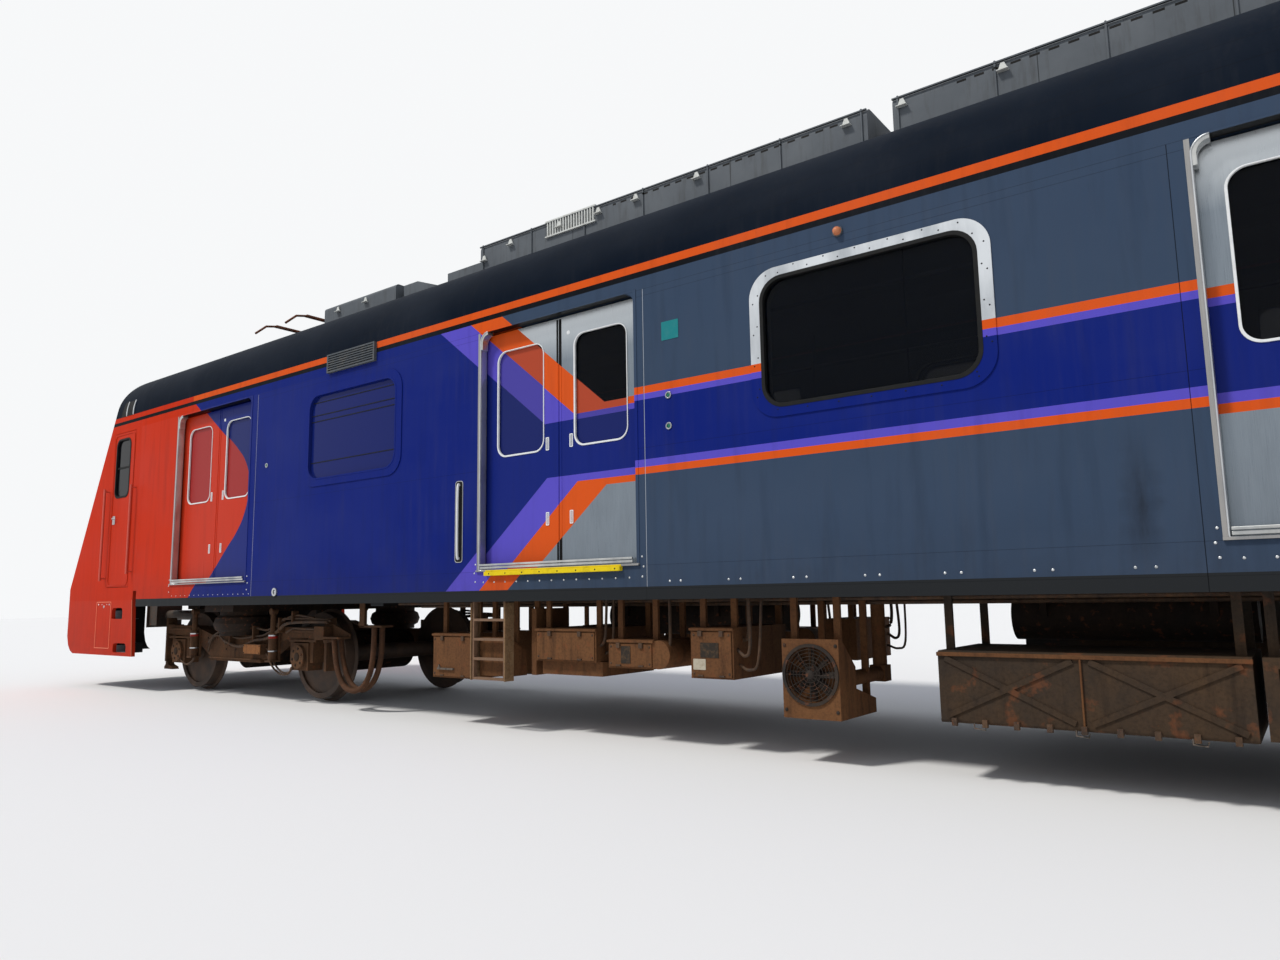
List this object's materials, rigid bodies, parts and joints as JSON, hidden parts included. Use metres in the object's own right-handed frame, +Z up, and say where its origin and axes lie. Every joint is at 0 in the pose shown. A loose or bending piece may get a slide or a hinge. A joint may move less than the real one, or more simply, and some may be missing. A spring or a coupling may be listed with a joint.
{
  "type": "metro car with one driving cab",
  "caption": "Electric metro motor car with a leaning cab nose, sliding passenger doors, roof units, a folded current collector and two powered bogies.",
  "frame": {"origin": "centre of the car's outline, at the lowest point of the wheel flanges", "axes": "+X from the cab end to the rear end, +Y to the side away from the pictured one, +Z up"},
  "size_m": [23, 3.148, 4.4895],
  "materials": {
    "door_steel": "bare ribbed stainless steel with painted bands, lightly soiled",
    "front_paint": "orange-red and blue gloss paint, road dirt low down",
    "wheel_steel": "rust brown steel with bright tread",
    "bogie_steel": "dark paint under brown brake dust",
    "bogie_gear": "dark paint and rubber under brake dust",
    "coupler_iron": "cast, dirty, worn bright at the face",
    "side_paint": "blue, violet, orange and slate bands over stainless steel",
    "underframe_steel": "dark grey paint, brown dust below",
    "roof_paint": "dark navy roof with an orange cantrail stripe",
    "ceiling_panel": "smooth white laminate",
    "end_steel": "dull ribbed stainless steel",
    "inner_panel": "smooth pale laminate",
    "window_glass": "tinted clear glass",
    "frame_aluminium": "satin, riveted",
    "vent_paint": "grey, dusty",
    "roof_unit_paint": "mid grey, weathered",
    "pantograph_steel": "dark, rusty",
    "collector_copper": "worn copper strips, brown",
    "case_paint": "grey paint under thick brown dust",
    "fan_steel": "dark, dusty",
    "seat_shell": "moulded shell, worn",
    "pole_steel": "polished tube",
    "desk_plastic": "dark grained",
    "lamp_glass": "clear ribbed lens",
    "rail_paint": "worn yellow and grey paint"
  },
  "bodies": {
    "carbody": {"air_tanks": "case_paint", "apron": "front_paint", "bolsters": "underframe_steel", "brake_cases": "case_paint", "cab_bulkhead": "inner_panel", "cab_desk": "desk_plastic", "cab_mask": "front_paint", "ceiling": "ceiling_panel", "converter_case": "case_paint", "doorway_frames": "frame_aluminium", "fan_case": "case_paint", "glazing": "window_glass", "headlamps": "lamp_glass", "ladders_and_rails": "rail_paint", "pantograph_base": "pantograph_steel", "poles": "pole_steel", "rear_end_wall": "end_steel", "resistor_cases": "case_paint", "roof_shell": "roof_paint", "roof_units": "roof_unit_paint", "seats": "seat_shell", "side_panels_far": "side_paint", "side_panels_near": "side_paint", "side_vents": "vent_paint", "underframe": "underframe_steel", "window_frames": "frame_aluminium"},
    "leaf_near_1_front": {"leaf_near_1_front": "door_steel"},
    "leaf_near_1_rear": {"leaf_near_1_rear": "door_steel"},
    "leaf_near_2_front": {"leaf_near_2_front": "door_steel"},
    "leaf_near_2_rear": {"leaf_near_2_rear": "door_steel"},
    "leaf_near_3_front": {"leaf_near_3_front": "door_steel"},
    "leaf_near_3_rear": {"leaf_near_3_rear": "door_steel"},
    "leaf_near_4_front": {"leaf_near_4_front": "door_steel"},
    "leaf_near_4_rear": {"leaf_near_4_rear": "door_steel"},
    "leaf_far_1_front": {"leaf_far_1_front": "door_steel"},
    "leaf_far_1_rear": {"leaf_far_1_rear": "door_steel"},
    "leaf_far_2_front": {"leaf_far_2_front": "door_steel"},
    "leaf_far_2_rear": {"leaf_far_2_rear": "door_steel"},
    "leaf_far_3_front": {"leaf_far_3_front": "door_steel"},
    "leaf_far_3_rear": {"leaf_far_3_rear": "door_steel"},
    "leaf_far_4_front": {"leaf_far_4_front": "door_steel"},
    "leaf_far_4_rear": {"leaf_far_4_rear": "door_steel"},
    "cab_door_near": {"cab_door_near": "front_paint"},
    "cab_door_far": {"cab_door_far": "front_paint"},
    "end_door": {"end_door": "end_steel"},
    "bulkhead_door": {"bulkhead_door": "inner_panel"},
    "pantograph_lower_arm": {"pantograph_lower_arm": "pantograph_steel"},
    "pantograph_upper_arm": {"pantograph_upper_arm": "pantograph_steel"},
    "pantograph_head": {"pantograph_head": "collector_copper"},
    "fan_wheel": {"fan_wheel": "fan_steel"},
    "coupler_front": {"coupler_front": "coupler_iron"},
    "coupler_rear": {"coupler_rear": "coupler_iron"},
    "bogie_front": {"bogie_frame_front": "bogie_steel", "bogie_gear_front": "bogie_gear"},
    "wheelset_front_leading": {"wheelset_front_leading": "wheel_steel"},
    "wheelset_front_trailing": {"wheelset_front_trailing": "wheel_steel"},
    "bogie_rear": {"bogie_frame_rear": "bogie_steel", "bogie_gear_rear": "bogie_gear"},
    "wheelset_rear_leading": {"wheelset_rear_leading": "wheel_steel"},
    "wheelset_rear_trailing": {"wheelset_rear_trailing": "wheel_steel"}
  },
  "joints": [
    {"name": "leaf_near_1_front_slide", "type": "slide", "parent": "carbody", "child": "leaf_near_1_front", "axis": [-1, 0, 0], "range_m": [0, 0.78]},
    {"name": "leaf_near_1_rear_slide", "type": "slide", "parent": "carbody", "child": "leaf_near_1_rear", "axis": [1, 0, 0], "range_m": [0, 0.78]},
    {"name": "leaf_near_2_front_slide", "type": "slide", "parent": "carbody", "child": "leaf_near_2_front", "axis": [-1, 0, 0], "range_m": [0, 0.78]},
    {"name": "leaf_near_2_rear_slide", "type": "slide", "parent": "carbody", "child": "leaf_near_2_rear", "axis": [1, 0, 0], "range_m": [0, 0.78]},
    {"name": "leaf_near_3_front_slide", "type": "slide", "parent": "carbody", "child": "leaf_near_3_front", "axis": [-1, 0, 0], "range_m": [0, 0.78]},
    {"name": "leaf_near_3_rear_slide", "type": "slide", "parent": "carbody", "child": "leaf_near_3_rear", "axis": [1, 0, 0], "range_m": [0, 0.78]},
    {"name": "leaf_near_4_front_slide", "type": "slide", "parent": "carbody", "child": "leaf_near_4_front", "axis": [-1, 0, 0], "range_m": [0, 0.78]},
    {"name": "leaf_near_4_rear_slide", "type": "slide", "parent": "carbody", "child": "leaf_near_4_rear", "axis": [1, 0, 0], "range_m": [0, 0.78]},
    {"name": "leaf_far_1_front_slide", "type": "slide", "parent": "carbody", "child": "leaf_far_1_front", "axis": [-1, 0, 0], "range_m": [0, 0.78]},
    {"name": "leaf_far_1_rear_slide", "type": "slide", "parent": "carbody", "child": "leaf_far_1_rear", "axis": [1, 0, 0], "range_m": [0, 0.78]},
    {"name": "leaf_far_2_front_slide", "type": "slide", "parent": "carbody", "child": "leaf_far_2_front", "axis": [-1, 0, 0], "range_m": [0, 0.78]},
    {"name": "leaf_far_2_rear_slide", "type": "slide", "parent": "carbody", "child": "leaf_far_2_rear", "axis": [1, 0, 0], "range_m": [0, 0.78]},
    {"name": "leaf_far_3_front_slide", "type": "slide", "parent": "carbody", "child": "leaf_far_3_front", "axis": [-1, 0, 0], "range_m": [0, 0.78]},
    {"name": "leaf_far_3_rear_slide", "type": "slide", "parent": "carbody", "child": "leaf_far_3_rear", "axis": [1, 0, 0], "range_m": [0, 0.78]},
    {"name": "leaf_far_4_front_slide", "type": "slide", "parent": "carbody", "child": "leaf_far_4_front", "axis": [-1, 0, 0], "range_m": [0, 0.78]},
    {"name": "leaf_far_4_rear_slide", "type": "slide", "parent": "carbody", "child": "leaf_far_4_rear", "axis": [1, 0, 0], "range_m": [0, 0.78]},
    {"name": "cab_door_near_hinge", "type": "hinge", "parent": "carbody", "child": "cab_door_near", "pos_m": [-9.101, -1.413, 2.265], "axis": [0, 0, -1], "range_deg": [0, 90]},
    {"name": "cab_door_far_hinge", "type": "hinge", "parent": "carbody", "child": "cab_door_far", "pos_m": [-9.101, 1.413, 2.265], "axis": [0, 0, 1], "range_deg": [0, 90]},
    {"name": "end_door_hinge", "type": "hinge", "parent": "carbody", "child": "end_door", "pos_m": [10.898, 0.359, 2.245], "axis": [0, 0, -1], "range_deg": [0, 95]},
    {"name": "bulkhead_door_hinge", "type": "hinge", "parent": "carbody", "child": "bulkhead_door", "pos_m": [-8.643, 0.359, 2.245], "axis": [0, 0, 1], "range_deg": [0, 90]},
    {"name": "pantograph_lower_hinge", "type": "hinge", "parent": "carbody", "child": "pantograph_lower_arm", "pos_m": [-7.22, 0, 4.32], "axis": [0, -1, 0], "range_deg": [0, 50]},
    {"name": "pantograph_knee_hinge", "type": "hinge", "parent": "pantograph_lower_arm", "child": "pantograph_upper_arm", "pos_m": [-6, 0, 4.402], "axis": [0, 1, 0], "range_deg": [0, 108.5]},
    {"name": "pantograph_head_hinge", "type": "hinge", "parent": "pantograph_upper_arm", "child": "pantograph_head", "pos_m": [-7.1, 0, 4.432], "axis": [0, -1, 0], "range_deg": [0, 58.5]},
    {"name": "fan_wheel_spin", "type": "hinge", "parent": "carbody", "child": "fan_wheel", "pos_m": [0.105, -1.29, 0.55], "axis": [0, 1, 0], "continuous": true},
    {"name": "coupler_front_swing", "type": "hinge", "parent": "carbody", "child": "coupler_front", "pos_m": [-10.1, 0, 0.89], "axis": [0, 0, 1], "range_deg": [-8, 8]},
    {"name": "coupler_rear_swing", "type": "hinge", "parent": "carbody", "child": "coupler_rear", "pos_m": [10.1, 0, 0.89], "axis": [0, 0, 1], "range_deg": [-8, 8]},
    {"name": "bogie_front_turn", "type": "hinge", "parent": "carbody", "child": "bogie_front", "pos_m": [-7.15, 0, 0.83], "axis": [0, 0, 1], "range_deg": [-4, 4]},
    {"name": "wheelset_front_leading_spin", "type": "hinge", "parent": "bogie_front", "child": "wheelset_front_leading", "pos_m": [-8.45, 0, 0.487], "axis": [0, 1, 0], "continuous": true},
    {"name": "wheelset_front_trailing_spin", "type": "hinge", "parent": "bogie_front", "child": "wheelset_front_trailing", "pos_m": [-5.85, 0, 0.487], "axis": [0, 1, 0], "continuous": true},
    {"name": "bogie_rear_turn", "type": "hinge", "parent": "carbody", "child": "bogie_rear", "pos_m": [8.35, 0, 0.83], "axis": [0, 0, 1], "range_deg": [-4, 4]},
    {"name": "wheelset_rear_leading_spin", "type": "hinge", "parent": "bogie_rear", "child": "wheelset_rear_leading", "pos_m": [7.05, 0, 0.487], "axis": [0, 1, 0], "continuous": true},
    {"name": "wheelset_rear_trailing_spin", "type": "hinge", "parent": "bogie_rear", "child": "wheelset_rear_trailing", "pos_m": [9.65, 0, 0.487], "axis": [0, 1, 0], "continuous": true}
  ],
  "couplings": [
    {"joint": "leaf_near_1_rear_slide", "follows": "leaf_near_1_front_slide", "ratio": 1},
    {"joint": "leaf_near_2_rear_slide", "follows": "leaf_near_2_front_slide", "ratio": 1},
    {"joint": "leaf_near_3_rear_slide", "follows": "leaf_near_3_front_slide", "ratio": 1},
    {"joint": "leaf_near_4_rear_slide", "follows": "leaf_near_4_front_slide", "ratio": 1},
    {"joint": "leaf_far_1_rear_slide", "follows": "leaf_far_1_front_slide", "ratio": 1},
    {"joint": "leaf_far_2_rear_slide", "follows": "leaf_far_2_front_slide", "ratio": 1},
    {"joint": "leaf_far_3_rear_slide", "follows": "leaf_far_3_front_slide", "ratio": 1},
    {"joint": "leaf_far_4_rear_slide", "follows": "leaf_far_4_front_slide", "ratio": 1},
    {"joint": "pantograph_knee_hinge", "follows": "pantograph_lower_hinge", "ratio": 2.166},
    {"joint": "pantograph_head_hinge", "follows": "pantograph_lower_hinge", "ratio": 1.166}
  ]
}
